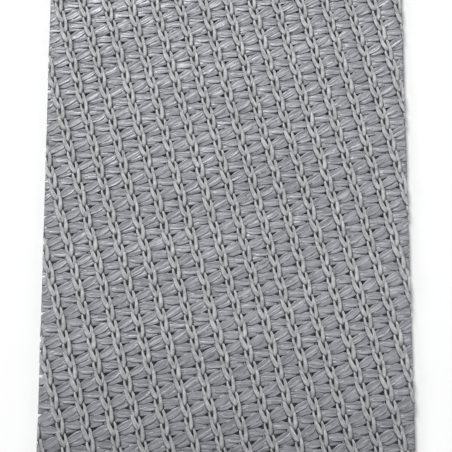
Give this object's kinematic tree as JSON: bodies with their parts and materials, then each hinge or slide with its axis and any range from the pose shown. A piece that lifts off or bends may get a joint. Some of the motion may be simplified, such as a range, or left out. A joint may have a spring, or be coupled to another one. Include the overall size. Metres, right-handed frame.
{
  "type": "balcony privacy screen cloth",
  "caption": "Cut length of knitted balcony privacy cloth, flat: chain-stitched wales over crosswise film tapes, with small see-through gaps between them.",
  "frame": {"origin": "middle of the underside, on the surface the cloth lies on", "axes": "+Y along the long cut edges, +X across them, +Z out of the knit's face; the wales run 14.8 degrees off Y, with their feet towards +X at the -Y end"},
  "size_m": [0.0636, 0.09, 0.0016],
  "materials": {
    "knitted_tape": "satin plastic tape"
  },
  "bodies": {
    "root": {"screen_cloth": "knitted_tape"}
  },
  "joints": []
}
